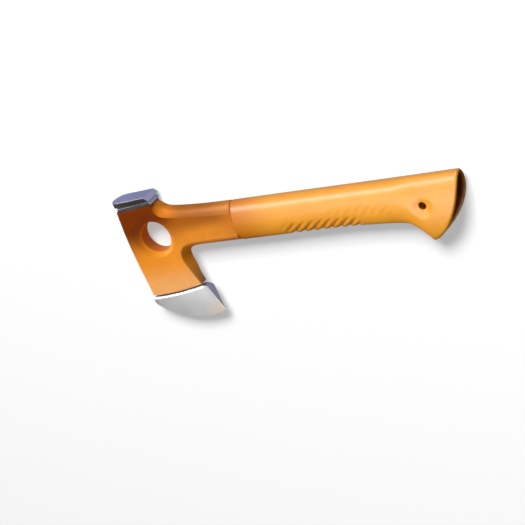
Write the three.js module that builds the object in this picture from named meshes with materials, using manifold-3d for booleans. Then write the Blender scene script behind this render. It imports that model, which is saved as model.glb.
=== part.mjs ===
// A short one-hand camping hatchet lying on its side, in millimetres.
// The design frame has +X along the handle from head to butt, +Y from the cutting edge to the
// hammer face and +Z through the thickness, with its origin on the axis of the finger hole and
// z = 0 on the mid-plane. The last lines move the whole hatchet onto its resting plane.
import * as THREE from 'three';
import { mergeVertices } from 'three/addons/utils/BufferGeometryUtils.js';
import Module from 'manifold-3d';

const wasm = await Module();
wasm.setup();

// ---------------------------------------------------------------- driving dimensions
const GAP = 0.3; // clearance between neighbouring pieces

const FINGER_HOLE_RADIUS = 14;
const DISH_CENTRE = [-2, -1.5];
const DISH_RADIUS = 20.5;
const DISH_DEPTH = 2.6;

const CHEEK_HALF = 8.2; // half thickness of the head from the hammer down to CHEEK_TAPER_Y
const CHEEK_TAPER_Y = 8;
const CHEEK_TAPER_LENGTH = 63;
const CHEEK_TAPER = 4.2; // what each cheek loses over the taper

const CASING_END = 81; // where the head casing meets the handle
const CASING_BOTTOM_RADIUS = 250; // the casing ends over the bit on a long arc
const CASING_BOTTOM_CENTRE = [-28, 194.7];

const BIT_GAP = 1.6; // open joint between casing and bit
const BIT_ROOT = 12; // depth of the bit's forked root inside the casing
const BIT_ROOT_HALF = 3.2;
const BIT_HALF = 4.4; // half thickness of the bit at the foot of its shoulder chamfer
const BIT_SHOULDER_HALF = 3.3; // half thickness at the top of that chamfer
const BIT_CHAMFER = 1.9;
const BIT_FRONT_TOP = -25.7;
const BIT_REAR_TOP = 31.6;
const BIT_FRONT_TOE = -29.2;
const BIT_REAR_HEEL = 37.2;
const EDGE_RADIUS = 69; // the cutting edge is an arc about EDGE_CENTRE
const EDGE_CENTRE = [16, -12.2];
const EDGE_CORNER = 2.4; // rounding of the toe and the heel
const EDGE_HALF = 0.12; // the edge is left this blunt

const POLL_ORIGIN = [-12, 28.3]; // the casing ends under the poll on a line through this point
const POLL_TILT = Math.atan2(2.6, 30); // and leans back by about five degrees
const POLL_HALF = 8.1;
const POLL_REACH = { front: -17.3, rear: 18 }; // ends of the poll block, measured along that line
const POLL_NOSE = 4; // depth of its rounded front end
const POLL_NECK = 4.5; // height of the poll block that shows above the casing
const POLL_ROOT = 6.5; // depth of its root inside the casing
const POLL_ROOT_HALF = 5;
const CAP_HALF = 9.85;
const CAP_REACH = { front: -19.6, rear: 20.4 };
const CAP_NOSE = 8; // depth of its rounded front end
const CAP_HEIGHT = 4.2;
const CAP_BEVEL = 0.5;
const CAP_REAR_SLOPE = 3.4; // the rear end leans in by this much up to the striking face
const CAP_REAR_CUT = 1.8; // corner cuts at the rear end
const CAP_WEDGE = 0.029; // the striking face drops towards the rear against the joint below it

const PLATE_HALF = 1.6; // half thickness of the hidden core plate
const PLATE_HOLE_RADIUS = 17.5;
const TANG_END = 190;
const TANG_HALF_HEIGHT = 8;

// Hidden rivets and pins: where each one crosses the plate, its radius and half length.
const FASTENERS = [
  { name: 'poll_rivet_front', x: -19, y: 24.4, radius: 1.8, half: POLL_ROOT_HALF - GAP },
  { name: 'poll_rivet_rear', x: -5, y: 25.6, radius: 1.8, half: POLL_ROOT_HALF - GAP },
  { name: 'bit_rivet_front', x: -12, y: -49.5, radius: 1.8, half: 3.1 },
  { name: 'bit_rivet_rear', x: 10, y: -47.5, radius: 1.8, half: 3.1 },
  { name: 'tang_pin_front', x: 100, y: 3.6, radius: 2.5, half: 7 },
  { name: 'tang_pin_rear', x: 172, y: 3.6, radius: 2.5, half: 7 },
];

const HANDLE_AXIS_Y = 3.6;
const WALL = 3; // wall of the hollow handle
const HOLLOW_START = 196;
const BUTT_CENTRE = [223, 29]; // the butt is cut on an arc about this point
const BUTT_RADIUS = 74.3;
const PLUG_RECESS = 14; // how far the end plug sits inside the rim
const PLUG_THICKNESS = 5;
const LANYARD = { x: 260, y: -1.6, radius: 3.7, dimple: 8.8, depth: 2.2 };
const SLEEVE_WALL = 1.2;
const SLEEVE_HALF = 9.4;

// ---------------------------------------------------------------- finishes
const finish = (color, roughness, metalness) =>
  new THREE.MeshStandardMaterial({ color, roughness, metalness });
const POLISHED_STEEL = finish(0xbfc0c6, 0.22, 1);
const GROUND_STEEL = finish(0x8d909c, 0.34, 1);
const RAW_STEEL = finish(0x5c5c60, 0.5, 1);
const CASING_ORANGE = finish(0xe0791c, 0.42, 0);
const HANDLE_ORANGE = finish(0xf08a28, 0.5, 0);
const DARK_POLYMER = finish(0x2a1408, 0.7, 0);

// ---------------------------------------------------------------- solids and booleans
function toSolid(geometry) {
  const bare = geometry.clone();
  for (const name of ['normal', 'uv']) bare.deleteAttribute(name);
  const merged = mergeVertices(bare, 1e-4);
  return new wasm.Manifold(new wasm.Mesh({
    numProp: 3,
    vertProperties: new Float32Array(merged.attributes.position.array),
    triVerts: new Uint32Array(merged.index.array),
  }));
}

function toGeometry(solid) {
  const mesh = solid.getMesh();
  const geometry = new THREE.BufferGeometry();
  geometry.setAttribute('position', new THREE.BufferAttribute(mesh.vertProperties, 3));
  geometry.setIndex(new THREE.BufferAttribute(mesh.triVerts, 1));
  geometry.computeVertexNormals();
  return geometry;
}

// Moves every vertex of a geometry through a function of its position.
function warp(geometry, place) {
  const points = geometry.attributes.position;
  const p = new THREE.Vector3();
  for (let i = 0; i < points.count; i += 1) {
    p.fromBufferAttribute(points, i);
    place(p);
    points.setXYZ(i, p.x, p.y, p.z);
  }
  return geometry;
}

// A plate with the given outline, between z = -half and z = half.
function plate(shape, half, curveSegments = 24) {
  const geometry = new THREE.ExtrudeGeometry(shape, {
    depth: 2 * half, bevelEnabled: false, curveSegments,
  });
  return geometry.translate(0, 0, -half);
}

function polygon(points) {
  return new THREE.Shape(points.map(([x, y]) => new THREE.Vector2(x, y)));
}

function cylinderZ(x, y, radius, half, segments = 48) {
  return new THREE.CylinderGeometry(radius, radius, 2 * half, segments)
    .rotateX(Math.PI / 2).translate(x, y, 0);
}

const cheekHalf = (y) => {
  const along = Math.max(0, CHEEK_TAPER_Y - y) / CHEEK_TAPER_LENGTH;
  return CHEEK_HALF - CHEEK_TAPER * along ** 1.5;
};

// ---------------------------------------------------------------- head casing
// Each side of the casing is a pair of curves: where the flat cheek ends, and the ridge that the
// side wall reaches on the mid-plane. Both run anticlockwise round the head.
const FRONT_SIDE = [
  { flat: [-28.1, 46], ridge: [-31.6, 46] },
  { flat: [-28.1, 12], ridge: [-31.6, 12] },
  { flat: [-27.7, -9], ridge: [-30.8, -9] },
  { flat: [-26.9, -29], ridge: [-29.0, -29] },
  { flat: [-25.7, -55], ridge: [-26.5, -55] },
  { flat: [-25.2, -66], ridge: [-25.8, -66] },
];
const BEARD_AND_NECK_SIDE = [
  { flat: [32, -66], ridge: [32.4, -66] },
  { flat: [26.7, -50.5], ridge: [27.4, -50.5] },
  { flat: [23.4, -41.4], ridge: [27.1, -41.4] },
  { flat: [20.4, -32.5], ridge: [26.6, -32] },
  { flat: [18.2, -24.5], ridge: [25.3, -24.5] },
  { flat: [18.9, -17.5], ridge: [25.2, -19] },
  { flat: [22.6, -12.4], ridge: [27.2, -16] },
  { flat: [28.8, -9.3], ridge: [31.6, -14.7] },
  { flat: [38, -8.2], ridge: [39, -14.4] },
  { flat: [55, -8], ridge: [55, -14.4] },
  { flat: [92, -8.2], ridge: [92, -14.4] },
];
const TOP_SIDE = [
  { flat: [92, 12.2], ridge: [92, 21.7] },
  { flat: [81, 12.5], ridge: [81, 21.7] },
  { flat: [55, 13.7], ridge: [55, 22.1] },
  { flat: [36, 15], ridge: [37, 22.9] },
  { flat: [24, 16], ridge: [26, 23.8] },
  { flat: [15, 17.4], ridge: [19.2, 25] },
  { flat: [10, 19.8], ridge: [15.2, 27] },
  { flat: [7.2, 23.8], ridge: [11.6, 29.2] },
  { flat: [6.2, 29], ridge: [8, 31.6] },
  { flat: [6, 46], ridge: [6.6, 46] },
];
const SIDE_POINTS = [8, 34, 26];
const SLAB_HALF = CHEEK_HALF + 1;
const OVAL_BULGE = 1.2;

function sideCurve(side, key, count) {
  return new THREE.SplineCurve(side.map((row) => new THREE.Vector2(...row[key]))).getPoints(count);
}

function casingOutline(key) {
  const sides = [FRONT_SIDE, BEARD_AND_NECK_SIDE, TOP_SIDE];
  return sides.flatMap((side, i) => sideCurve(side, key, SIDE_POINTS[i]));
}

// How far the side wall stands out at height z: the cheeks are cut from an oval a fifth thicker.
function ovalSwell(z, cheek) {
  const atCheek = Math.sqrt(1 - 1 / OVAL_BULGE ** 2);
  const here = Math.sqrt(Math.max(0, 1 - (z / (cheek * OVAL_BULGE)) ** 2));
  return Math.max(0, (here - atCheek) / (1 - atCheek));
}

// The head as a slab whose walls swell from the flat's edge to the ridge on the mid-plane.
function headSlab() {
  const flat = casingOutline('flat');
  const ridge = casingOutline('ridge');
  const nearest = (x, y) => flat.reduce(
    (best, q, i) => (Math.hypot(q.x - x, q.y - y) < Math.hypot(flat[best].x - x, flat[best].y - y) ? i : best),
    0,
  );
  const geometry = new THREE.ExtrudeGeometry(new THREE.Shape(flat), {
    depth: 2 * SLAB_HALF, steps: 12, bevelEnabled: false,
  }).translate(0, 0, -SLAB_HALF);
  return warp(geometry, (p) => {
    const i = nearest(p.x, p.y);
    const swell = ovalSwell(p.z, cheekHalf(p.y));
    p.x += (ridge[i].x - flat[i].x) * swell;
    p.y += (ridge[i].y - flat[i].y) * swell;
  });
}

// The wedge between the two cheeks, closed by the lines under the poll and over the bit.
function cheekWedge() {
  const steps = 20;
  const top = 46;
  const bottom = -66;
  const side = [];
  for (let i = 0; i <= steps; i += 1) {
    const y = top + ((bottom - top) * i) / steps;
    side.push([y, cheekHalf(y)]);
  }
  const profile = polygon([...side, ...side.map(([y, z]) => [y, -z]).reverse()]);
  const geometry = new THREE.ExtrudeGeometry(profile, { depth: 160, bevelEnabled: false });
  return warp(geometry, (p) => p.set(p.z - 50, p.x, p.y));
}

// Everything between the line under the poll, the arc over the bit and the end of the casing.
function casingBand() {
  const [cx, cy] = CASING_BOTTOM_CENTRE;
  const underPoll = new THREE.BoxGeometry(90, 120, 60).translate(0, -60, 0);
  const neck = new THREE.BoxGeometry(CASING_END - 8, 80, 60).translate(8 + (CASING_END - 8) / 2, 0, 0);
  const withinX = new THREE.BoxGeometry(CASING_END + 60, 300, 60).translate((CASING_END - 60) / 2, 0, 0);
  return toSolid(inPollFrame(underPoll)).add(toSolid(neck))
    .intersect(toSolid(withinX))
    .intersect(toSolid(cylinderZ(cx, cy, CASING_BOTTOM_RADIUS, 30, 400)));
}

function dishCutter(side) {
  const profile = [];
  const steps = 8;
  for (let i = 0; i <= steps; i += 1) {
    const r = (DISH_RADIUS * i) / steps;
    const inside = Math.max(0, (r - FINGER_HOLE_RADIUS) / (DISH_RADIUS - FINGER_HOLE_RADIUS));
    profile.push(new THREE.Vector2(r, CHEEK_HALF - DISH_DEPTH * (1 - inside ** 1.6)));
  }
  profile.push(new THREE.Vector2(DISH_RADIUS + 2, CHEEK_HALF + 3), new THREE.Vector2(0, CHEEK_HALF + 3));
  const geometry = new THREE.LatheGeometry(profile, 48).rotateX(Math.PI / 2);
  if (side < 0) geometry.rotateY(Math.PI);
  return toSolid(geometry.translate(DISH_CENTRE[0], DISH_CENTRE[1], 0));
}

function headCasing() {
  return toSolid(headSlab())
    .intersect(toSolid(cheekWedge()))
    .intersect(casingBand())
    .subtract(dishCutter(1))
    .subtract(dishCutter(-1))
    .subtract(toSolid(cylinderZ(0, 0, FINGER_HOLE_RADIUS, 30)))
    .subtract(toSolid(corePlate(GAP)))
    .subtract(pollBlock(GAP))
    .subtract(bitRoot(GAP));
}

// ---------------------------------------------------------------- steel pieces
// The hidden plate that joins poll, bit and handle; grow widens it for the pocket round it.
function corePlate(grow) {
  const g = grow;
  const low = HANDLE_AXIS_Y - TANG_HALF_HEIGHT - g;
  const high = HANDLE_AXIS_Y + TANG_HALF_HEIGHT + g;
  const shape = new THREE.Shape();
  shape.moveTo(-22 - g, 26 + g);
  shape.lineTo(-21 - g, -52.5 - g);
  shape.lineTo(21 + g, -49 - g);
  shape.lineTo(20 + g, -40);
  shape.quadraticCurveTo(19 + g, -30, 18 + g, -22);
  shape.quadraticCurveTo(18 + g, low, 32, low);
  shape.lineTo(TANG_END + g, low);
  shape.lineTo(TANG_END + g, high);
  shape.lineTo(24, high);
  shape.quadraticCurveTo(10 + g, high + 2, 3 + g, 26 + g);
  shape.closePath();
  return plate(shape, PLATE_HALF + g, 12);
}

function fastener({ x, y, radius, half }, grow) {
  return toSolid(cylinderZ(x, y, radius + grow, half + grow, 24));
}

// Cuts the pockets of the plate and of the fasteners out of a piece.
function clearCore(solid) {
  return FASTENERS.reduce(
    (left, row) => left.subtract(fastener(row, GAP)),
    solid.subtract(toSolid(corePlate(GAP))),
  );
}

function drilledCorePlate() {
  const hole = toSolid(cylinderZ(0, 0, PLATE_HOLE_RADIUS, 30));
  return FASTENERS.reduce(
    (left, row) => left.subtract(fastener(row, GAP)),
    toSolid(corePlate(0)).subtract(hole),
  );
}

// Moves a piece drawn about the middle of the casing's upper line, +Y towards the hammer face.
function inPollFrame(geometry) {
  return geometry.rotateZ(POLL_TILT).translate(POLL_ORIGIN[0], POLL_ORIGIN[1], 0);
}

function boxBetween([x0, x1], [y0, y1], half) {
  return new THREE.BoxGeometry(x1 - x0, y1 - y0, 2 * half)
    .translate((x0 + x1) / 2, (y0 + y1) / 2, 0);
}

// The steel neck under the hammer cap, whose thinner root is buried in the casing.
function pollBlock(grow) {
  const { front, rear } = POLL_REACH;
  const neck = noseEnded(front, rear, POLL_HALF, POLL_NOSE, 0.6);
  const standing = new THREE.ExtrudeGeometry(neck, {
    depth: POLL_NECK - GAP + grow, bevelEnabled: false, curveSegments: 10,
  }).rotateX(-Math.PI / 2).translate(0, GAP - grow, 0);
  const root = boxBetween([front + 5 - grow, rear - 4 + grow], [-POLL_ROOT - grow, 1], POLL_ROOT_HALF + grow);
  return toSolid(inPollFrame(standing)).add(toSolid(inPollFrame(root)));
}

// An outline seen from the hammer face: an oval nose at the front and cut corners at the rear.
function noseEnded(front, rear, half, nose, cut) {
  const shape = new THREE.Shape();
  shape.moveTo(rear - cut, -half);
  shape.lineTo(rear, -half + cut);
  shape.lineTo(rear, half - cut);
  shape.lineTo(rear - cut, half);
  shape.lineTo(front + nose, half);
  shape.absellipse(front + nose, 0, nose, half, Math.PI / 2, 1.5 * Math.PI, false, 0);
  shape.closePath();
  return shape;
}

// The striking cap: a rounded nose at the front, a sloping rear end, a slightly tilted face.
function hammerCap() {
  const { front, rear } = CAP_REACH;
  const geometry = new THREE.ExtrudeGeometry(noseEnded(front, rear, CAP_HALF, CAP_NOSE, CAP_REAR_CUT), {
    depth: CAP_HEIGHT - 2 * CAP_BEVEL, bevelEnabled: true, bevelThickness: CAP_BEVEL,
    bevelSize: CAP_BEVEL, bevelOffset: -CAP_BEVEL, bevelSegments: 2, curveSegments: 20,
  }).translate(0, 0, CAP_BEVEL).rotateX(-Math.PI / 2);
  const shaped = warp(geometry, (p) => {
    const rise = p.y / CAP_HEIGHT;
    if (p.x > 0) p.x -= CAP_REAR_SLOPE * rise;
    p.y -= CAP_WEDGE * p.x * rise;
  });
  return inPollFrame(shaped.translate(0, POLL_NECK + GAP, 0));
}

// The bit is a grid between its shoulder line and the arc of the cutting edge.
function cuttingBit() {
  const [cx, cy] = CASING_BOTTOM_CENTRE;
  const shoulderRadius = CASING_BOTTOM_RADIUS + BIT_GAP;
  const rows = 7;
  const geometry = new THREE.BoxGeometry(1, 1, 1, 40, rows + 1, 1);
  const wedge = toSolid(warp(geometry, (p) => {
    const along = p.x + 0.5;
    const row = Math.round((0.5 - p.y) * (rows + 1));
    const topX = THREE.MathUtils.lerp(BIT_FRONT_TOP, BIT_REAR_TOP, along);
    const heelDrop = 0.06 * Math.max(0, topX - 24) ** 2; // the shoulder falls away behind the casing
    const topY = cy - Math.sqrt(shoulderRadius ** 2 - (topX - cx) ** 2) - heelDrop;
    const edgeX = THREE.MathUtils.lerp(BIT_FRONT_TOE, BIT_REAR_HEEL, along);
    const edgeY = edgeHeight(edgeX);
    const chamfer = BIT_CHAMFER / (topY - edgeY);
    const taper = Math.max(0, row - 1) / rows;
    const down = row === 0 ? 0 : THREE.MathUtils.lerp(chamfer, 1, taper);
    const half = row === 0 ? BIT_SHOULDER_HALF : THREE.MathUtils.lerp(BIT_HALF, EDGE_HALF, taper);
    p.set(
      THREE.MathUtils.lerp(topX, edgeX, down),
      THREE.MathUtils.lerp(topY, edgeY, down),
      Math.sign(p.z) * half,
    );
  }));
  return clearCore(wedge.add(bitRoot(0)));
}

// The fork above the bit that straddles the core plate inside the casing.
function bitRoot(grow) {
  const shape = polygon([
    [-23 - grow, -59], [29.5 + grow, -55.5], [26 + grow, -50 + BIT_GAP],
    [20 + grow, -50 + BIT_ROOT + grow - 2], [-19 - grow, -54.6 + BIT_ROOT + grow],
  ]);
  return toSolid(plate(shape, BIT_ROOT_HALF + grow));
}

function edgeHeight(x) {
  const [cx, cy] = EDGE_CENTRE;
  const fromEnd = Math.min(x - BIT_FRONT_TOE, BIT_REAR_HEEL - x, EDGE_CORNER);
  const lift = EDGE_CORNER - Math.sqrt(Math.max(0, EDGE_CORNER ** 2 - (EDGE_CORNER - fromEnd) ** 2));
  return cy - Math.sqrt(EDGE_RADIUS ** 2 - (x - cx) ** 2) + lift;
}

// ---------------------------------------------------------------- handle
// Stations along the handle: upper edge, lower edge and half thickness at each x.
const HANDLE_STATIONS = [
  { x: 81, top: 21.6, bottom: -14.3, half: 10 },
  { x: 130, top: 21.6, bottom: -14.4, half: 10.9 },
  { x: 180, top: 21.5, bottom: -14.8, half: 11.3 },
  { x: 215, top: 21.5, bottom: -16.2, half: 11.8 },
  { x: 233, top: 21.5, bottom: -17.8, half: 12.2 },
  { x: 241, top: 21.6, bottom: -19.8, half: 12.4 },
  { x: 249, top: 21.6, bottom: -26.2, half: 12.5 },
  { x: 256, top: 21.7, bottom: -34.4, half: 12.6 },
  { x: 261, top: 21.8, bottom: -37, half: 12.6 },
  { x: 304, top: 22, bottom: -37.4, half: 12.6 },
];
const stationCurve = (key) => new THREE.SplineCurve(
  HANDLE_STATIONS.map((s) => new THREE.Vector2(s.x, s[key])),
);
const STATION_CURVES = { top: stationCurve('top'), bottom: stationCurve('bottom'), half: stationCurve('half') };

// The value of a station curve where it passes x, found by halving its parameter range.
function stationAt(key, x) {
  let low = 0;
  let high = 1;
  for (let i = 0; i < 30; i += 1) {
    const middle = (low + high) / 2;
    if (STATION_CURVES[key].getPoint(middle).x < x) low = middle;
    else high = middle;
  }
  return STATION_CURVES[key].getPoint(low).y;
}

// An oval bar that follows the stations, made thinner all round by inset.
function handleBar(start, end, inset, around, along) {
  const geometry = new THREE.CylinderGeometry(1, 1, 1, around, along).rotateZ(-Math.PI / 2);
  return toSolid(warp(geometry, (p) => {
    const x = start + (p.x + 0.5) * (end - start);
    const top = stationAt('top', x) - inset;
    const bottom = stationAt('bottom', x) + inset;
    const half = stationAt('half', x) - inset;
    p.x = x;
    p.y = (top + bottom) / 2 + (p.y * (top - bottom)) / 2;
    p.z *= half;
  }));
}

function buttDisc(inset) {
  const [cx, cy] = BUTT_CENTRE;
  const disc = toSolid(cylinderZ(cx, cy, BUTT_RADIUS - inset, 30, 160));
  const forward = new THREE.BoxGeometry(cx, 200, 60).translate(cx / 2, 0, 0);
  return disc.add(toSolid(forward));
}

function lanyardDimple(side) {
  const { x, y, radius, dimple, depth } = LANYARD;
  const surface = stationAt('half', x);
  const steps = 6;
  const profile = [new THREE.Vector2(0, surface - depth)];
  for (let i = 0; i <= steps; i += 1) {
    const t = i / steps;
    profile.push(new THREE.Vector2(radius + (dimple - radius) * t, surface - depth * (1 - t ** 1.5)));
  }
  profile.push(new THREE.Vector2(dimple + 1, surface + 3), new THREE.Vector2(0, surface + 3));
  const geometry = new THREE.LatheGeometry(profile, 32).rotateX(Math.PI / 2);
  if (side < 0) geometry.rotateY(Math.PI);
  return toSolid(geometry.translate(x, y, 0));
}

// The hollow handle, solid round the tang and open at the butt, with a boss round the lanyard hole.
function handleShell() {
  const { x, y, radius } = LANYARD;
  const hollow = handleBar(HOLLOW_START, 304, WALL, 32, 24);
  const boss = toSolid(cylinderZ(x, y, radius + SLEEVE_WALL + GAP + 2.4, 30, 32));
  const shell = handleBar(CASING_END + GAP, 304, 0, 40, 44)
    .intersect(buttDisc(0))
    .subtract(hollow.subtract(boss))
    .subtract(lanyardDimple(1))
    .subtract(lanyardDimple(-1))
    .subtract(toSolid(cylinderZ(x, y, radius, 30, 32)))
    .subtract(toSolid(cylinderZ(x, y, radius + SLEEVE_WALL + GAP, SLEEVE_HALF + GAP, 32)));
  return clearCore(shell);
}

function lanyardSleeve() {
  const { x, y, radius } = LANYARD;
  const outer = toSolid(cylinderZ(x, y, radius + SLEEVE_WALL, SLEEVE_HALF, 32));
  return outer.subtract(toSolid(cylinderZ(x, y, radius, 30, 32)));
}

// The plug that closes the hollow, following the arc of the butt and notched round the boss.
function buttPlug() {
  const { x, y, radius } = LANYARD;
  const slice = buttDisc(PLUG_RECESS).subtract(buttDisc(PLUG_RECESS + PLUG_THICKNESS));
  return handleBar(HOLLOW_START, 304, WALL + GAP, 32, 24)
    .intersect(slice)
    .subtract(toSolid(cylinderZ(x, y, radius + SLEEVE_WALL + 2 * GAP + 2.4, 30, 32)));
}

// ---------------------------------------------------------------- assembly
const PIECES = [
  ['cutting_bit', cuttingBit, POLISHED_STEEL],
  ['hammer_cap', hammerCap, POLISHED_STEEL],
  ['poll_block', () => clearCore(pollBlock(0)), GROUND_STEEL],
  ['core_plate', drilledCorePlate, RAW_STEEL],
  ['head_casing', headCasing, CASING_ORANGE],
  ['handle_shell', handleShell, HANDLE_ORANGE],
  ['lanyard_sleeve', lanyardSleeve, DARK_POLYMER],
  ['butt_plug', buttPlug, DARK_POLYMER],
  ...FASTENERS.map((row) => [row.name, () => fastener(row, 0), RAW_STEEL]),
];

const hatchet = new THREE.Group();
for (const [name, make, material] of PIECES) {
  const made = make();
  const mesh = new THREE.Mesh(made.isBufferGeometry ? made : toGeometry(made), material);
  mesh.name = name;
  hatchet.add(mesh);
}

// The hatchet rests on the plane z = 0, with the middle of its outline over the origin.
const box = new THREE.Box3().setFromObject(hatchet);
const middle = box.getCenter(new THREE.Vector3());
hatchet.position.set(-middle.x, -middle.y, -box.min.z);
hatchet.updateMatrixWorld(true);

export default hatchet;
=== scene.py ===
"""A short one-hand hatchet lying on a white table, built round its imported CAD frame.

Shapes are worked out in millimetres in the design frame: +X along the handle from head to butt, +Y from the
cutting edge to the hammer face, +Z through the thickness, origin on the axis of the finger hole. to_row()
moves them into the frame's metres.
"""

import math

import bmesh
import bpy
import numpy as np
import openvdb
from mathutils import Matrix, Vector


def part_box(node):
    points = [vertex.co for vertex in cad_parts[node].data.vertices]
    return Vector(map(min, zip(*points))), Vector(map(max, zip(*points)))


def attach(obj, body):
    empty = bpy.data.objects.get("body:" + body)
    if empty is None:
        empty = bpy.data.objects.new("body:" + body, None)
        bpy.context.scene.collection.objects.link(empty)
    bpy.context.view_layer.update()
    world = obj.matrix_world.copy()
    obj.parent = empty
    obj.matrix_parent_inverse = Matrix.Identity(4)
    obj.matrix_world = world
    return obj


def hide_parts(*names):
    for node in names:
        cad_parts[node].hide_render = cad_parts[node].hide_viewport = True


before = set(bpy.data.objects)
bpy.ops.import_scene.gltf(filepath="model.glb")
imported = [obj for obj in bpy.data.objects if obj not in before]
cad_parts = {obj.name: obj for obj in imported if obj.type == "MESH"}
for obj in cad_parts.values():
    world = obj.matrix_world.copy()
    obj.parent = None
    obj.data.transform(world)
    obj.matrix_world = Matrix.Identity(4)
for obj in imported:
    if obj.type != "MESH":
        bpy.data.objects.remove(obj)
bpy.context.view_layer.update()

REPLACED_NODES = ("head_casing", "handle_shell", "hammer_cap", "poll_block", "cutting_bit")
PLASTIC_NODES = ("lanyard_sleeve", "butt_plug")

# ---------------------------------------------------------------- dimensions, in millimetres
LANYARD = (260.0, -1.6)
FINGER_HOLE_RADIUS = 14.2
DISH_CENTRE = (-2.0, -1.5)
DISH_RADIUS = 20.8
DISH_DEPTH = 2.3

CHEEK_HALF = 8.2
CHEEK_TAPER_Y = 8.0
CHEEK_TAPER_LENGTH = 63.0
CHEEK_TAPER = 4.2
CHEEK_TAPER_POWER = 1.5
BAR_BULGE = 1.2  # the oval that the cheeks are cut from is this much thicker than the cheeks
BEARD_FADE = (10.0, 17.0)  # this far below the axis the notch's wall turns from an oval to a straight ridge
POLL_SIDE = 12.0  # the plane under the poll cuts only what lies in front of this

CASING_END = 81.0
CASING_BOTTOM_RADIUS = 250.0
CASING_BOTTOM_CENTRE = (-28.0, 194.7)

POLL_ORIGIN = (-12.0, 28.3)
POLL_TILT = math.atan2(2.6, 30.0)
NECK_HALF = 8.1
NECK_REACH = (-17.3, 19.4)
NECK_NOSE = 4.0
NECK_TOP = 4.5
NECK_LIP = 1.5
NECK_ROOT = 6.5
NECK_ROOT_INSET = 3.1
NECK_GROOVE = 0.9  # the neck narrows to a dark groove under the cap
NECK_BEVEL = 0.15
CAP_HALF = 9.85
CAP_REACH = (-19.6, 20.0)
CAP_NOSE = 8.0
CAP_FOOT = 4.8
CAP_HEIGHT = 4.2
CAP_REAR_SLOPE = 3.4
CAP_WEDGE = 0.029
CAP_BEVEL = 0.22

BIT_SHOULDER_RADIUS = CASING_BOTTOM_RADIUS + 1.6
BIT_TOP = (-25.7, 31.6)  # front and rear ends of the shoulder
BIT_EDGE = (-29.2, 37.2)  # toe and heel
BIT_CHAMFER = 1.6
BIT_SHOULDER_HALF = 3.65
BIT_HALF = 4.4
EDGE_HALF = 0.12
EDGE_CENTRE = (16.0, -12.2)
EDGE_RADIUS = 69.0
EDGE_CORNER = 2.4
HEEL_DROP = 0.06  # the shoulder curves down towards the heel, from HEEL_START on
HEEL_START = 24.0
BIT_BEVEL = 0.1
BIT_SLICES = 97
BIT_STEPS = 6

GAP = 0.12  # between the casing and the grip
WALL = 3.0  # of the hollow butt
HOLLOW_START = 196.0
BUTT_CENTRE = (223.0, 29.0)
BUTT_RADIUS = 74.3
BUTT_HALF = 12.5
LANYARD_RADIUS = 3.7
LANYARD_BOSS = 3.9  # wall round the lanyard hole inside the hollow
DIMPLE_RADIUS = 8.8
DIMPLE_DEPTH = 2.4
RIDGE_START = 129.1
RIDGE_PITCH = 8.7
RIDGE_LEAN = 1.35
RIDGE_DEPTH = 1.7
RIB_LEAN = 1.0
RIB_DEPTH = 0.4
LANYARD_LIP = 9.7  # the hole narrows above this height, over the ends of the sleeve
LIP_REACH = 0.6

# widths over which the moulded corners are rounded
FLAT_CORNER = 0.4
DISH_CORNER = 0.2
HOLE_CORNER = 0.9
END_CORNER = 0.3
BUTT_CORNER = 2.6
RIM_CORNER = 1.2
DIMPLE_CORNER = 1.6
EYE_CORNER = 0.5

PITCH = 0.5  # spacing of the grids that the mouldings are meshed on
GRIP_PITCH_RATIO = 1.13  # the grip is larger, so its mesh is a little coarser
SMOOTHING_PASSES = 4
SHARP_ANGLE = math.radians(28)

# x, y outlines of the casing: where the flat cheeks end, and the ridge that the walls rise to on the mid-plane
FRONT_FLAT = [(-28.1, 46), (-28.1, 12), (-27.7, -9), (-26.9, -29), (-25.7, -55), (-25.2, -66)]
FRONT_RIDGE = [(-31.6, 46), (-31.6, 12), (-30.8, -9), (-29.0, -29), (-26.5, -55), (-25.8, -66)]
NOTCH_FLAT = [
    (32, -66), (26.7, -50.5), (23.4, -41.4), (20.4, -32.5), (18.2, -24.5), (18.9, -17.5),
    (22.6, -12.4), (28.8, -9.3), (38, -8.2), (55, -8), (92, -8.2),
]
NOTCH_RIDGE = [
    (32.4, -66), (27.4, -50.5), (27.1, -41.4), (26.6, -32), (25.3, -24.5), (25.2, -19),
    (27.2, -16), (31.6, -14.7), (39, -14.4), (55, -14.4), (92, -14.4),
]
TOP_FLAT = [
    (92, 12.2), (81, 12.5), (55, 13.7), (36, 15), (24, 16), (15, 17.4), (10, 19.8),
    (7.2, 23.8), (6.2, 29), (6, 46),
]
TOP_RIDGE = [
    (92, 21.7), (81, 21.7), (55, 22.1), (37, 22.9), (26, 23.8), (19.2, 25), (15.2, 27),
    (11.6, 29.2), (8, 31.6), (6.6, 46),
]
# x, upper edge, lower edge and half thickness of the handle
HANDLE_STATIONS = np.array([
    (81, 21.6, -14.3, 10.0),
    (130, 21.6, -14.4, 10.9),
    (180, 21.5, -14.8, 11.3),
    (215, 21.5, -16.2, 11.8),
    (233, 21.5, -17.8, 12.2),
    (241, 21.6, -19.8, 12.4),
    (249, 21.6, -26.2, 12.5),
    (256, 21.7, -34.4, 12.6),
    (261, 21.8, -37.0, 12.6),
    (304, 22.0, -37.4, 12.6),
])

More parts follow.
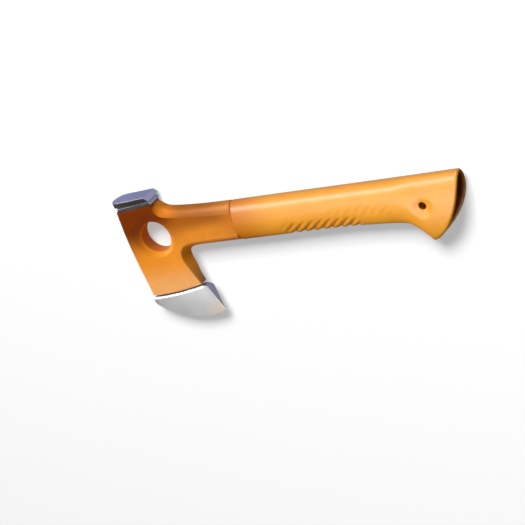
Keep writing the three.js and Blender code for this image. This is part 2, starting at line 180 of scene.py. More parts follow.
# ---------------------------------------------------------------- base colours, dark and light where paired
# the casing's flats are painted: shade by the hammer, under the shoulder and at the seam, light over the bit
CASING_PAINTED_SHADE = (0.20, 0.032, 0.0001), (0.225, 0.036, 0.0002)
CASING_LIGHT = (0.86, 0.27, 0.006), (0.93, 0.30, 0.008)
CASING_SHADE_UNDER_SHOULDER = (0.50, 0.125, 0.002)
CASING_SHADE_AT_SEAM = (0.80, 0.225, 0.005)
# painted light and shade on the shoulder: bright by the hammer, shaded along the neck, paler at the seam
SHOULDER_AT_HAMMER = (0.86, 0.26, 0.015)
SHOULDER_MIDDLE = (0.46, 0.140, 0.018)
SHOULDER_AT_SEAM = (0.66, 0.23, 0.030)
# painted light on the wall of the finger hole
HOLE_WALL_PAINTED_LIGHT = (0.80, 0.22, 0.005)
SANDED = (0.88, 0.48, 0.18)
GRIP_OUTSIDE = (0.76, 0.30, 0.016), (0.81, 0.33, 0.020)
# painted shade on the grip by the seam, damping its sheen
GRIP_SHADE_AT_SEAM = (0.61, 0.185, 0.004)
# painted shade inside the hollow butt and the lanyard hole and in the ridges' valleys
GRIP_PAINTED_SHADE = (0.50, 0.13, 0.003)
# painted shade: the plug and sleeve are dark where the hollow butt and lanyard hole lie in shade
POLYMER = (0.05, 0.02, 0.003), (0.07, 0.028, 0.004)
# the cap's steel is tinted blue, a painted reflection of lavender surroundings
CAP_STEEL = (0.70, 0.71, 0.80), (0.82, 0.83, 0.90)
# painted dark reflection on the cap's faces turned away from the hammer's end
CAP_SIDES = (0.17, 0.155, 0.14)
# a faint blue tint on the neck's steel, a painted reflection
NECK_STEEL = (0.80, 0.80, 0.88), (0.90, 0.90, 0.95)
# painted dark reflection on the neck's faces turned away from the hammer's end
NECK_SIDES = (0.17, 0.165, 0.16)
BIT_STEEL = (0.59, 0.585, 0.59), (0.65, 0.645, 0.64)
HEEL_STAIN = (0.74, 0.62, 0.50)
RAW_STEEL = (0.3, 0.3, 0.31), (0.4, 0.4, 0.42)
WHITE = (1, 1, 1, 1)

# ---------------------------------------------------------------- frames of reference
SLEEVE_BOX = np.array(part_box("lanyard_sleeve"))
DESIGN_ORIGIN = SLEEVE_BOX.mean(axis=0) - np.array([LANYARD[0], LANYARD[1], 0.0]) / 1000.0


def to_row(points):
    """Design-frame millimetres to the frame's metres."""
    return np.asarray(points, dtype=float) / 1000.0 + DESIGN_ORIGIN


# ---------------------------------------------------------------- curves and fields
def spline(points, per_span=12):
    """A uniform Catmull-Rom curve through the points."""
    knots = np.asarray(points, dtype=float)
    last = len(knots) - 1
    t = np.linspace(0, 1, per_span, endpoint=False)[:, None]
    spans = []
    for i in range(last):
        a = knots[max(i - 1, 0)]
        b = knots[i]
        c = knots[i + 1]
        d = knots[min(i + 2, last)]
        square = 2 * a - 5 * b + 4 * c - d
        cube = 3 * b - 3 * c + d - a
        spans.append(0.5 * (2 * b + (c - a) * t + square * t ** 2 + cube * t ** 3))
    spans.append(knots[-1:])
    return np.concatenate(spans)


def smooth_max(a, b, k):
    """The larger of two fields, with the corner between them rounded over a width k."""
    h = np.maximum(k - np.abs(a - b), 0.0) / k
    return np.maximum(a, b) + h * h * k * 0.25


def ramp(value, low, high):
    """0 below low, 1 above high."""
    return np.clip((value - low) / (high - low), 0.0, 1.0)


def between(value, start, full, fade, end):
    """Rises from 0 to 1 between the first two values and falls back between the last two."""
    return ramp(value, start, full) * ramp(-value, -end, -fade)


def outline_distance(outline, x, y):
    """Signed distance from points to a closed outline, negative inside, worked out in batches."""
    tiny = 1e-12
    batch = 20000
    step = np.roll(outline, -1, axis=0) - outline
    length2 = np.maximum((step ** 2).sum(axis=1), tiny)
    rise = np.where(np.abs(step[:, 1]) < tiny, tiny, step[:, 1])
    all_x, all_y = x.ravel(), y.ravel()
    nearest = np.empty(all_x.shape)
    inside = np.zeros(all_x.shape, dtype=bool)
    for first in range(0, len(all_x), batch):
        some = slice(first, first + batch)
        px = all_x[some, None] - outline[None, :, 0]
        py = all_y[some, None] - outline[None, :, 1]
        t = np.clip((px * step[:, 0] + py * step[:, 1]) / length2, 0, 1)
        gap2 = (px - t * step[:, 0]) ** 2 + (py - t * step[:, 1]) ** 2
        nearest[some] = np.sqrt(gap2.min(axis=1))
        spans_y = (py >= 0) != (py - step[:, 1] >= 0)
        crosses = spans_y & (px < py * step[:, 0] / rise)
        inside[some] = crosses.sum(axis=1) % 2 == 1
    return np.where(inside, -nearest, nearest).reshape(x.shape)


def grid_axes(low, high, pitch):
    return [np.arange(a, b + pitch, pitch) for a, b in zip(low, high)]


def add_object(name, data):
    """Puts a mesh, light or camera in the scene."""
    made = bpy.data.objects.new(name, data)
    bpy.context.scene.collection.objects.link(made)
    return made


def orient_and_smooth(mesh):
    """Turns every face outward and shades it smooth."""
    made = bmesh.new()
    made.from_mesh(mesh)
    bmesh.ops.recalc_face_normals(made, faces=made.faces)
    for face in made.faces:
        face.smooth = True
    made.to_mesh(mesh)
    made.free()


def field_to_mesh(name, field, low, pitch, shares):
    """Turns a signed-distance grid into a closed, smoothed mesh in the frame's metres.

    shares holds point attributes for the materials, each worked out from x, y, z in design millimetres.
    """
    reach = 3 * pitch
    grid = openvdb.FloatGrid(background=reach)
    grid.copyFromArray(np.clip(field, -reach, reach).astype(np.float32))
    points, triangles, quads = grid.convertToPolygons(isovalue=0.0, adaptivity=0.0)
    points = points * pitch + np.asarray(low)
    mesh = bpy.data.meshes.new(name)
    mesh.from_pydata(to_row(points).tolist(), [], triangles.tolist() + quads.tolist())
    for key, share in shares.items():
        values = share(*points.T).astype(np.float32)
        mesh.attributes.new(key, "FLOAT", "POINT").data.foreach_set("value", values)
    orient_and_smooth(mesh)
    piece = add_object(name, mesh)
    modifier = piece.modifiers.new("even", "SMOOTH")
    modifier.factor = 0.5
    modifier.iterations = SMOOTHING_PASSES
    return piece


# ---------------------------------------------------------------- head casing
def cheek_half(y):
    """Half the casing's thickness, thinning towards the bit."""
    along = np.maximum(0.0, CHEEK_TAPER_Y - y) / CHEEK_TAPER_LENGTH
    return CHEEK_HALF - CHEEK_TAPER * along ** CHEEK_TAPER_POWER


def oval_swell(z, cheek):
    """How far the side wall stands out from the flat's edge at height z, 1 on the mid-plane."""
    full = cheek * BAR_BULGE
    at_cheek = math.sqrt(1 - 1 / BAR_BULGE ** 2)
    here = np.sqrt(np.maximum(0.0, 1 - (z / full) ** 2))
    return np.clip((here - at_cheek) / (1 - at_cheek), 0.0, 1.0)


def closed_outline(*curves):
    return np.concatenate([spline(curve) for curve in curves])


def from_flat(x, y):
    """Distance from the outline of the flat cheeks."""
    return outline_distance(closed_outline(FRONT_FLAT, NOTCH_FLAT, TOP_FLAT), x, y)


def casing_ends(x, y):
    """Where the casing stops: under the poll, above the bit and at the grip."""
    above = (y - POLL_ORIGIN[1]) * math.cos(POLL_TILT) - (x - POLL_ORIGIN[0]) * math.sin(POLL_TILT)
    below = np.hypot(x - CASING_BOTTOM_CENTRE[0], y - CASING_BOTTOM_CENTRE[1]) - CASING_BOTTOM_RADIUS
    other_ends = np.maximum(below, x - CASING_END)
    return np.where(x < POLL_SIDE, np.maximum(above, other_ends), other_ends)


def dish_floor(x, y):
    """Height of the surface in the countersunk dish round the finger hole."""
    from_dish = np.hypot(x - DISH_CENTRE[0], y - DISH_CENTRE[1])
    slope = np.clip((from_dish - FINGER_HOLE_RADIUS) / (DISH_RADIUS - FINGER_HOLE_RADIUS), 0.0, None)
    return CHEEK_HALF - DISH_DEPTH * (1 - slope)


def head_casing_field(axes):
    xs, ys, zs = axes
    x, y = np.meshgrid(xs, ys, indexing="ij")
    flat = from_flat(x, y)
    ridge = outline_distance(closed_outline(FRONT_RIDGE, NOTCH_RIDGE, TOP_RIDGE), x, y)
    cheek = cheek_half(y)
    dish = dish_floor(x, y)
    ends = casing_ends(x, y)
    hole = FINGER_HOLE_RADIUS - np.hypot(x, y)
    beard = ramp(-y, *BEARD_FADE) * (x > 0)

    field = np.empty((len(xs), len(ys), len(zs)))
    for k, z in enumerate(zs):
        straight = np.clip(1 - abs(z) / cheek, 0.0, 1.0)
        swell = oval_swell(z, cheek)
        wall = flat + (ridge - flat) * (swell + (straight - swell) * beard)
        body = smooth_max(wall, abs(z) - cheek, FLAT_CORNER)
        body = smooth_max(body, abs(z) - dish, DISH_CORNER)
        body = smooth_max(body, hole, HOLE_CORNER)
        field[:, :, k] = smooth_max(body, ends, END_CORNER)
    return field


def inside_hole(x, y, z):
    """1 on the wall of the finger hole, which is painted lighter to stand in for light."""
    from_wall = np.hypot(x, y) - FINGER_HOLE_RADIUS
    return ramp(-from_wall, -0.9, -0.2)


def shoulder_share(x, y, z):
    """1 on the rounded shoulder above the flats, from the hammer to the seam, which gets painted light and
    shade.
    """
    return ramp(from_flat(x, y), -0.1, 0.5) * ramp(x, 4, 12) * (y > 0)


def head_casing(pitch):
    low = (-34.0, -59.0, -10.0)
    high = (83.0, 36.0, 10.0)
    field = head_casing_field(grid_axes(low, high, pitch))
    shares = {"painted_light_and_shade": inside_hole, "shoulder": shoulder_share}
    piece = field_to_mesh("casing_moulding", field, low, pitch, shares)
    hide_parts("head_casing")
    return piece


# ---------------------------------------------------------------- handle
def handle_section(x):
    """Middle height, half height and half thickness of the handle at each x."""
    curve = spline(HANDLE_STATIONS, 40)
    top, bottom, half = [np.interp(x, curve[:, 0], curve[:, i]) for i in (1, 2, 3)]
    return (top + bottom) / 2, (top - bottom) / 2, half


def oval_distance(y, z, centre, height, half):
    """Roughly the distance from an oval, negative inside."""
    reach = np.sqrt(((y - centre) / height) ** 2 + (z / half) ** 2)
    slope = np.sqrt(((y - centre) / height ** 2) ** 2 + (z / half ** 2) ** 2)
    return reach * (reach - 1) / np.maximum(slope, 1e-6)


def from_lanyard(x, y):
    return np.hypot(x - LANYARD[0], y - LANYARD[1])


def from_butt(x, y):
    """Distance past the curved end of the butt."""
    past = np.hypot(x - BUTT_CENTRE[0], y - BUTT_CENTRE[1]) - BUTT_RADIUS
    return np.where(x > BUTT_CENTRE[0], past, -BUTT_RADIUS)


def dimple_field(x, y, z):
    """The round bowls that the lanyard hole opens in, on both flanks."""
    bowl = (DIMPLE_RADIUS ** 2 + DIMPLE_DEPTH ** 2) / (2 * DIMPLE_DEPTH)
    bowl_z = BUTT_HALF - DIMPLE_DEPTH + bowl
    return bowl - np.sqrt(from_lanyard(x, y) ** 2 + (np.abs(z) - bowl_z) ** 2)


def handle_field(axes):
    x, y, z = np.meshgrid(*axes, indexing="ij", sparse=True)
    centre, height, half = handle_section(x)
    outer = oval_distance(y, z, centre, height, half)
    inner = oval_distance(y, z, centre, height - WALL, half - WALL)
    boss = from_lanyard(x, y) - (LANYARD_RADIUS + LANYARD_BOSS)
    hollow = np.maximum(np.maximum(inner, HOLLOW_START - x), -boss)
    eye = np.where(np.abs(z) > LANYARD_LIP, LANYARD_RADIUS - LIP_REACH, LANYARD_RADIUS)

    body = outer + RIDGE_DEPTH * ridge_share(x, y, centre) + RIB_DEPTH * rib_share(x, y, centre)
    body = smooth_max(body, from_butt(x, y), BUTT_CORNER)
    body = smooth_max(body, -hollow, RIM_CORNER)
    body = smooth_max(body, dimple_field(x, y, z), DIMPLE_CORNER)
    body = smooth_max(body, eye - from_lanyard(x, y), EYE_CORNER)
    return smooth_max(body, CASING_END + GAP - x, END_CORNER)


def ridge_share(x, y, centre):
    """1 in the valleys of the scalloped finger ridges low on both flanks."""
    above = y - centre
    valley = 1 - np.abs(np.sin(math.pi * (x - RIDGE_START - RIDGE_LEAN * above) / RIDGE_PITCH))
    return valley * ramp(-above, 4.5, 9.5) * between(x, 124, 132, 192, 202)


def rib_share(x, y, centre):
    """1 in the valleys of the fainter ribs above the rear half of the ridges."""
    above = y - centre
    wave = 0.5 - 0.5 * np.cos(2 * math.pi * (x - RIDGE_START - RIB_LEAN * above) / RIDGE_PITCH)
    return wave * np.exp(-((above + 1.0) / 6.5) ** 2) * between(x, 166, 184, 228, 246)


def inside_handle(x, y, z):
    """Painted shade: 1 on the walls of the hollow butt and of the lanyard hole, partly so in the ridges'
    valleys.
    """
    centre, height, half = handle_section(x)
    inner = oval_distance(y, z, centre, height - WALL, half - WALL)
    from_rim = BUTT_RADIUS - np.hypot(x - BUTT_CENTRE[0], y - BUTT_CENTRE[1])
    hollow = ramp(-inner, -1.1, -0.5) * (x > HOLLOW_START) * ramp(from_rim, 0.8, 2.4)
    eye = ramp(LANYARD_RADIUS - from_lanyard(x, y), 0.0, 0.6)
    return np.maximum(np.maximum(hollow, eye), 0.6 * ridge_share(x, y, centre))


def handle_shell(pitch):
    low = (80.0, -39.0, -14.0)
    high = (300.0, 24.0, 14.0)
    field = handle_field(grid_axes(low, high, pitch))
    piece = field_to_mesh("grip_moulding", field, low, pitch, {"painted_light_and_shade": inside_handle})
    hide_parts("handle_shell")
    return piece


# ---------------------------------------------------------------- steel pieces
def lofted(name, rings, bevel):
    """A closed piece through rings of equal count, its sharp edges lightly bevelled."""
    count = len(rings[0])
    total = count * len(rings)
    faces = [tuple(range(count)), tuple(range(total - 1, total - 1 - count, -1))]
    for low in range(0, total - count, count):
        for i in range(count):
            j = (i + 1) % count
            faces.append((low + i, low + j, low + count + j, low + count + i))
    mesh = bpy.data.meshes.new(name)
    mesh.from_pydata(to_row(np.concatenate(rings)).tolist(), [], faces)
    orient_and_smooth(mesh)
    mesh.set_sharp_from_angle(angle=SHARP_ANGLE)
    piece = add_object(name, mesh)
    modifier = piece.modifiers.new("worn_edges", "BEVEL")
    modifier.width = bevel / 1000.0
    modifier.segments = 3
    modifier.limit_method = "ANGLE"
    modifier.angle_limit = SHARP_ANGLE
    modifier.harden_normals = True
    return piece


def nose_ended_ring(reach, half, nose, inset, place):
    """An outline with an oval nose in front and square corners behind, set by place(along, across)."""
    front = reach[0] + inset
    rear = reach[1] - inset
    half = half - inset
    turn = np.linspace(math.pi / 2, 1.5 * math.pi, 31)
    along = np.concatenate([[rear], front + nose + nose * np.cos(turn), [rear]])
    across = np.concatenate([[half], half * np.sin(turn), [-half]])
    return place(along, across)


def in_poll_frame(along, up, across):
    """Places points given along, above and across the line that the casing ends on under the poll."""
    turn, lift = math.cos(POLL_TILT), math.sin(POLL_TILT)
    return np.stack([
        POLL_ORIGIN[0] + along * turn - up * lift,
        POLL_ORIGIN[1] + along * lift + up * turn,
        across,
    ], axis=-1)


def striking_cap():
    def place(rise):
        def at(along, across):
            leaned = along - CAP_REAR_SLOPE * rise * (along > 0)
            up = CAP_FOOT + rise * (CAP_HEIGHT - CAP_WEDGE * leaned)
            return in_poll_frame(leaned, up, across)
        return at
    rings = [nose_ended_ring(CAP_REACH, CAP_HALF, CAP_NOSE, 0.0, place(rise)) for rise in (0.0, 1.0)]
    piece = lofted("striking_cap", rings, CAP_BEVEL)
    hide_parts("hammer_cap")
    return piece


def poll_neck():
    levels = [
        (-NECK_ROOT, NECK_ROOT_INSET), (0.2, NECK_ROOT_INSET), (0.3, 0.0),
        (NECK_TOP - NECK_LIP, 0.0), (NECK_TOP - NECK_LIP + 0.3, NECK_GROOVE), (NECK_TOP, NECK_GROOVE),
    ]
    rings = []
    for height, inset in levels:
        def at(along, across, height=height):
            return in_poll_frame(along, np.full_like(along, height), across)
        rings.append(nose_ended_ring(NECK_REACH, NECK_HALF, NECK_NOSE, inset, at))
    piece = lofted("poll_neck", rings, NECK_BEVEL)
    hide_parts("poll_block")
    return piece


def edge_height(x):
    """The cutting edge: an arc, rounded up at the toe and the heel."""
    from_end = np.minimum(np.minimum(x - BIT_EDGE[0], BIT_EDGE[1] - x), EDGE_CORNER)
    lift = EDGE_CORNER - np.sqrt(np.maximum(0, EDGE_CORNER ** 2 - (EDGE_CORNER - from_end) ** 2))
    return EDGE_CENTRE[1] - np.sqrt(EDGE_RADIUS ** 2 - (x - EDGE_CENTRE[0]) ** 2) + lift


def shoulder_height(x):
    """The top of the bit: an arc under the casing that drops a little at the heel."""
    from_middle = x - CASING_BOTTOM_CENTRE[0]
    arc = CASING_BOTTOM_CENTRE[1] - math.sqrt(BIT_SHOULDER_RADIUS ** 2 - from_middle ** 2)
    return arc - HEEL_DROP * max(0.0, x - HEEL_START) ** 2


def bit_section(along):
    """One slice of the bit, 0 at the toe and 1 at the heel: shoulder, chamfer, ground faces, edge."""
    top_x, edge_x = [start + (end - start) * along for start, end in (BIT_TOP, BIT_EDGE)]
    top_y = shoulder_height(top_x)
    edge_y = float(edge_height(edge_x))
    chamfer = BIT_CHAMFER / (top_y - edge_y)
    side = [(top_x, top_y, BIT_SHOULDER_HALF)]
    for step in range(BIT_STEPS + 1):
        share = step / BIT_STEPS
        down = chamfer + (1 - chamfer) * share
        half = BIT_HALF + (EDGE_HALF - BIT_HALF) * share
        side.append((top_x + (edge_x - top_x) * down, top_y + (edge_y - top_y) * down, half))
    return np.array(side + [(x, y, -z) for x, y, z in reversed(side)])


def bit_blade():
    rings = [bit_section(along) for along in np.linspace(0, 1, BIT_SLICES)]
    piece = lofted("bit_blade", rings, BIT_BEVEL)
    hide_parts("cutting_bit")
    return piece


# ---------------------------------------------------------------- nodes
def new_material(name):
    material = bpy.data.materials.new(name)
    material.use_nodes = True
    return material, material.node_tree


def set_shader(tree, **sockets):
    """Fills the shader's inputs, each with a value or a link from another node's socket."""
    shader = tree.nodes["Principled BSDF"]
    for key, value in sockets.items():
        socket = shader.inputs[key.replace("_", " ")]
        if isinstance(value, bpy.types.NodeSocket):
            tree.links.new(value, socket)
        else:
            socket.default_value = value


def add_node(tree, kind, **values):
    """Adds a node and sets its properties or its inputs by name."""
    made = tree.nodes.new(kind)
    for key, value in values.items():
        if hasattr(made, key):
            setattr(made, key, value)
        else:
            made.inputs[key.replace("_", " ")].default_value = value
    return made


def noise(tree, scale, detail=3.0, stretch=(1, 1, 1)):
    """Noise in the object's own space, its scale in cycles per metre."""
    place = add_node(tree, "ShaderNodeTexCoord")
    mapping = add_node(tree, "ShaderNodeMapping", Scale=stretch)
    made = add_node(tree, "ShaderNodeTexNoise", Scale=scale, Detail=detail)
    tree.links.new(place.outputs["Object"], mapping.inputs["Vector"])
    tree.links.new(mapping.outputs["Vector"], made.inputs["Vector"])
    return made.outputs["Fac"]


def map_range(tree, source, start, end, low=0.0, high=1.0, **values):
    """Takes a value from start..end to low..high and no further."""
    made = add_node(tree, "ShaderNodeMapRange", **values)
    for name, value in (("From Min", start), ("From Max", end), ("To Min", low), ("To Max", high)):
        made.inputs[name].default_value = value
    tree.links.new(source, made.inputs["Value"])
    return made.outputs["Result"]


def spread(tree, source, low, high):
    """Takes the usual range of a noise to low..high."""
    return map_range(tree, source, 0.3, 0.7, low, high)


def bump(tree, height, strength, distance):
    made = add_node(tree, "ShaderNodeBump", Strength=strength, Distance=distance)
    tree.links.new(height, made.inputs["Height"])
    return made.outputs["Normal"]


def varied_colour(tree, source, dark, light):
    """A colour that drifts between two others with a noise."""
    made = add_node(tree, "ShaderNodeValToRGB")
    first, last = made.color_ramp.elements
    first.position = 0.3
    first.color = (*dark, 1)
    last.position = 0.7
    last.color = (*light, 1)
    tree.links.new(source, made.inputs["Fac"])
    return made.outputs["Color"]


def along_way(tree, vector, way):
    """How far a vector reaches in a direction."""
    made = add_node(tree, "ShaderNodeVectorMath", operation="DOT_PRODUCT")
    tree.links.new(vector, made.inputs[0])
    made.inputs[1].default_value = way
    return made.outputs["Value"]


def fade(tree, start, end):
    """0 at one point, given in design millimetres, rising smoothly to 1 at another."""
    first, last = [Vector(to_row((*point, 0))) for point in (start, end)]
    way = (last - first).normalized()
    place = add_node(tree, "ShaderNodeTexCoord").outputs["Object"]
    reach = along_way(tree, place, way)
    return map_range(tree, reach, first.dot(way), last.dot(way), interpolation_type="SMOOTHSTEP")


def facing(tree, axis, low, high):
    """0 on faces turned away from a direction, 1 on those turned towards it."""
    normal = add_node(tree, "ShaderNodeNewGeometry").outputs["Normal"]
    return map_range(tree, along_way(tree, normal, Vector(axis).normalized()), low, high)


def scaled(tree, first, second):
    """The product of two values."""
    made = add_node(tree, "ShaderNodeMath", operation="MULTIPLY")
    tree.links.new(first, made.inputs[0])
    tree.links.new(second, made.inputs[1])
    return made.outputs["Value"]


def mixed(tree, factor, first, second):
    """Mixes two colours, each a tuple or a socket."""
    made = add_node(tree, "ShaderNodeMix", data_type="RGBA")
    tree.links.new(factor, made.inputs["Factor"])
    for name, value in (("A", first), ("B", second)):
        socket = [s for s in made.inputs if s.name == name and s.type == "RGBA"][0]
        if isinstance(value, tuple):
            socket.default_value = (*value, 1)
        else:
            tree.links.new(value, socket)
    return [s for s in made.outputs if s.type == "RGBA"][0]


def share_of(tree, name):
    """A point attribute of the mesh."""
    return add_node(tree, "ShaderNodeAttribute", attribute_name=name).outputs["Fac"]


# ---------------------------------------------------------------- materials
def casing_flats(tree, painted_lightness):
    """Painted shade and light: deep by the hammer, light over the bit, shaded under the shoulder and at the
    seam.
    """
    cloud = noise(tree, 60)
    deep = varied_colour(tree, cloud, *CASING_PAINTED_SHADE)
    light = varied_colour(tree, cloud, *CASING_LIGHT)
    body = mixed(tree, painted_lightness, deep, light)
    # painted shade under the shoulder and towards the seam
    painted_shoulder_shade = scaled(tree, fade(tree, (0, 0), (0, 13)), fade(tree, (14, 0), (34, 0)))
    body = mixed(tree, painted_shoulder_shade, body, CASING_SHADE_UNDER_SHOULDER)
    return mixed(tree, fade(tree, (62, 0), (84, 0)), body, CASING_SHADE_AT_SEAM)


def casing_shoulder(tree):
    """Painted light and shade on the shoulder: bright by the hammer, shaded along the neck, paler at the seam.
    """
    shoulder_painted_light = mixed(tree, fade(tree, (8, 0), (34, 0)), SHOULDER_AT_HAMMER, SHOULDER_MIDDLE)
    return mixed(tree, fade(tree, (52, 0), (84, 0)), shoulder_painted_light, SHOULDER_AT_SEAM)


def casing_orange():
    """Glossy moulded orange with painted shade and light, and pale sanding marks over the bit."""
    material, tree = new_material("casing_orange")
    # painted light and shade: from painted shade by the hammer to light over the bit; it also sets the sheen
    painted_lightness = fade(tree, (-4.5, 14.3), (4.8, -15.2))
    body = mixed(tree, share_of(tree, "shoulder"), casing_flats(tree, painted_lightness), casing_shoulder(tree))
    # painted light on the finger hole's wall
    body = mixed(tree, share_of(tree, "painted_light_and_shade"), body, HOLE_WALL_PAINTED_LIGHT)
    marks = noise(tree, 1300, 3.0, (1.0, 0.10, 1.0))
    over_bit = fade(tree, (0, -22), (0, -50))
    pale = scaled(tree, over_bit, spread(tree, marks, 0.35, 0.8))
    set_shader(
        tree,
        Base_Color=mixed(tree, pale, body, SANDED),
        Roughness=spread(tree, marks, 0.38, 0.48),
        Normal=bump(tree, marks, 0.10, 0.0001),
        Metallic=0.1,
        Specular_IOR_Level=map_range(tree, painted_lightness, 0.0, 1.0, 0.06, 0.28),
    )
    return material


def grip_orange():
    """Lighter orange, finely grained like a textured mould, with painted shade in hollows, valleys and by the
    seam.
    """
    material, tree = new_material("grip_orange")
    outside = varied_colour(tree, noise(tree, 60), *GRIP_OUTSIDE)
    # painted shade near the seam
    outside = mixed(tree, fade(tree, (82, 0), (122, 0)), GRIP_SHADE_AT_SEAM, outside)
    grain = noise(tree, 1400, 2.0)
    set_shader(
        tree,
        # painted shade in the hollows and valleys
        Base_Color=mixed(tree, share_of(tree, "painted_light_and_shade"), outside, GRIP_PAINTED_SHADE),
        Roughness=spread(tree, grain, 0.34, 0.44),
        Normal=bump(tree, grain, 0.20, 0.0002),
        Specular_IOR_Level=0.65,
        Coat_Weight=0.32,
        Coat_Roughness=0.26,
    )
    return material


def dark_polymer():
    """Dull dark brown plastic for the plug and the sleeve inside the butt, its darkness painted shade."""
    material, tree = new_material("dark_polymer")
    grain = noise(tree, 1500, 2.0)
    set_shader(
        tree,
        Base_Color=varied_colour(tree, grain, *POLYMER),
        Normal=bump(tree, grain, 0.2, 0.0002),
        Roughness=0.7,
        Specular_IOR_Level=0.2,
    )
    return material


def steel(name, tones, roughness, stretch, sides=None, stain=None):
    """Ground steel with drawn-out grinding marks.

    tones is a dark and a light colour and sides a painted dark reflection for faces turned away from the
    hammer's end.
    stain is a colour with the two points that it comes in between.
    """
    material, tree = new_material(name)
    streaks = noise(tree, 900, 4.0, stretch)
    colour = varied_colour(tree, noise(tree, 50), *tones)
    if sides:
        # painted dark reflection on faces turned away from the hammer's end
        colour = mixed(tree, facing(tree, (0.5, 0.86, 0.0), 0.3, 0.45), sides, colour)
    if stain:
        shade, start, end = stain
        colour = mixed(tree, fade(tree, start, end), colour, shade)
    set_shader(
        tree,
        Base_Color=colour,
        Roughness=spread(tree, streaks, roughness - 0.05, roughness + 0.08),
        Normal=bump(tree, streaks, 0.2, 0.0001),
        Metallic=1.0,
    )
    return material


def glowing_white(name, base, glow):
    """Matt white for the table and the backdrop, with some light of its own."""
    material, tree = new_material(name)
    set_shader(
        tree,
        Base_Color=(base, base, base, 1),
        Roughness=0.9,
        Specular_IOR_Level=0.0,
        Emission_Color=WHITE,
        Emission_Strength=glow,
    )
    return material


def assign(piece, material):
    piece.data.materials.clear()
    piece.data.materials.append(material)


# ---------------------------------------------------------------- scene
def group(name, members):
    """A collection that a light can be limited to."""
    made = bpy.data.collections.new(name)
    for member in members:
        made.objects.link(member)
    return made


def area_light(name, place, aim, size, power, only):
    """A rectangular lamp that lights one group."""
    light = bpy.data.lights.new(name, "AREA")
    light.shape = "RECTANGLE"
    light.size, light.size_y = size
    light.energy = power
    lamp = add_object(name, light)
    lamp.location = place
    lamp.rotation_euler = (Vector(aim) - Vector(place)).to_track_quat("-Z", "Y").to_euler()
    lamp.light_linking.receiver_collection = only


def scenery(name, points, faces, material):
    """A surface that isn't part of the object and throws no light of its own on it."""
    mesh = bpy.data.meshes.new(name)
    mesh.from_pydata(points, [], faces)
    made = add_object(name, mesh)
    made.visible_diffuse = False
    made.visible_glossy = False
    assign(made, material)
    return made


def make_table():
    """A white table just under the hatchet."""
    reach = 6.0
    depth = -0.0005
    points = [(-reach, -reach, depth), (reach, -reach, depth), (reach, reach, depth), (-reach, reach, depth)]
    return scenery("table", points, [(0, 1, 2, 3)], glowing_white("table_white", 0.30, 0.42))


def make_backdrop():
    """A white wall far round the table, only there to be seen."""
    radius, height, count = 4.2, 8.0, 48
    turns = [2 * math.pi * i / count for i in range(count)]
    points = [(radius * math.cos(t), radius * math.sin(t), z) for z in (-0.1, height) for t in turns]
    faces = [(i, (i + 1) % count, count + (i + 1) % count, count + i) for i in range(count)]
    wall = scenery("backdrop", points, faces, glowing_white("backdrop_white", 0.0, 1.0))
    wall.visible_shadow = False


def make_world():
    """Dim overhead and pale round the horizon.

    Below it are a cool bounce for the steel and a warm dark one for the handle's underside.
    """
    world = bpy.data.worlds.new("studio")
    bpy.context.scene.world = world
    world.use_nodes = True
    tree = world.node_tree
    place = add_node(tree, "ShaderNodeTexCoord")
    parts = add_node(tree, "ShaderNodeSeparateXYZ")
    tree.links.new(place.outputs["Generated"], parts.inputs["Vector"])
    x, y, z = parts.outputs
    cool = mixed(tree, map_range(tree, x, -0.4, 0.5), (0.26, 0.275, 0.44), (0.36, 0.37, 0.52))
    below = mixed(tree, map_range(tree, y, -0.30, -0.18), (0.055, 0.032, 0.018), cool)
    around = mixed(tree, map_range(tree, y, -0.7, 0.0), (0.07, 0.065, 0.06), (0.34, 0.34, 0.35))
    horizon = mixed(tree, map_range(tree, z, -0.02, 0.04), below, around)
    sky = mixed(tree, map_range(tree, z, 0.04, 0.28), horizon, (0.04, 0.04, 0.045))
    tree.links.new(sky, tree.nodes["Background"].inputs["Color"])


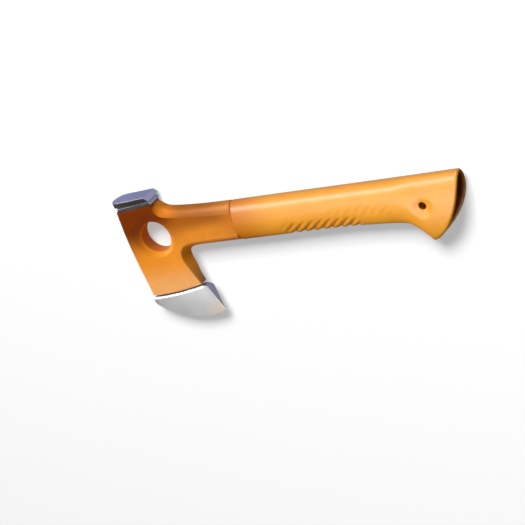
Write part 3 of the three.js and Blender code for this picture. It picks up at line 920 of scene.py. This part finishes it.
def make_lights(head, grip, tables):
    """A soft key for the shadow on the table, and boxes that only light the head or the grip."""
    area_light("shadow_key", (0.66, 2.58, 2.40), (0.0, 0.0, 0.01), (1.38, 1.38), 395.0, tables)
    area_light("key_head", (-0.58, 0.81, 0.64), (-0.1, 0.0, 0.01), (1.0, 0.22), 12.0, head)
    area_light("key_grip", (-0.53, 0.68, 0.78), (0.0, 0.0, 0.01), (1.0, 0.12), 8.4, grip)
    area_light("grip_card", (-0.23, 0.0, 0.66), (0.09, 0.0, 0.01), (0.40, 0.30), 1.0, grip)
    area_light("top_grip", (0.10, 0.90, 0.40), (0.03, 0.0, 0.01), (0.60, 0.30), 3.6, grip)
    area_light("over_grip", (0.12, -0.01, 0.27), (0.10, 0.0, 0.01), (0.34, 0.12), 0.48, grip)
    area_light("left_card", (-0.54, 0.08, 0.28), (-0.13, 0.0, 0.01), (0.18, 0.18), 0.84, head)
    area_light("cheek_box", (-0.13, -0.10, 0.145), (-0.11, -0.02, 0.01), (0.18, 0.08), 0.10, head)
    area_light("bit_box", (-0.407, -0.33, 0.15), (-0.13, -0.045, 0.01), (0.34, 0.32), 0.24, head)


def make_camera():
    """A long lens high over the butt, on the hammer's side of the handle."""
    right = Vector((0.84321, -0.32263, -0.43))
    up = Vector((0.10355, 0.88238, -0.459))
    back = right.cross(up).normalized()
    right = up.cross(back).normalized()
    up = back.cross(right)
    turn = Matrix((right, up, back)).transposed().to_4x4()
    lens = bpy.data.cameras.new("camera")
    lens.lens = 196.457
    lens.sensor_width = 36.0
    lens.clip_end = 20.0
    camera = add_object("camera", lens)
    camera.matrix_world = Matrix.Translation(to_row((1355.48, 784.01, 1866.16))) @ turn
    bpy.context.scene.camera = camera


def detailed_pieces(pitch):
    """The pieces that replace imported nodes, each with its material."""
    stain = (HEEL_STAIN, (22, -68), (34, -80))
    return {
        head_casing(pitch): casing_orange(),
        handle_shell(GRIP_PITCH_RATIO * pitch): grip_orange(),
        # the cap's blue tint is a painted reflection
        striking_cap(): steel("steel_with_painted_blue_reflection", CAP_STEEL, 0.30, (1, 20, 1), CAP_SIDES),
        poll_neck(): steel("ground_steel", NECK_STEEL, 0.36, (20, 1, 1), NECK_SIDES),
        bit_blade(): steel("polished_steel", BIT_STEEL, 0.38, (1, 30, 1), stain=stain),
    }


def build():
    """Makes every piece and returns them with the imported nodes."""
    made = detailed_pieces(PITCH)
    for piece, material in made.items():
        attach(piece, "root")
        assign(piece, material)
    raw = steel("raw_steel", RAW_STEEL, 0.5, (1, 1, 1))
    dark = dark_polymer()
    for name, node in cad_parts.items():
        if name not in REPLACED_NODES:
            assign(node, dark if name in PLASTIC_NODES else raw)
    return list(made) + list(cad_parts.values())


make_camera()
make_world()
make_backdrop()
PIECES = build()
GRIP = [piece for piece in PIECES if piece.name == "grip_moulding"]
HEAD = [piece for piece in PIECES if piece not in GRIP]
make_lights(group("head", HEAD), group("grip", GRIP), group("tables", [make_table()]))
bpy.context.scene.view_settings.view_transform = "Standard"
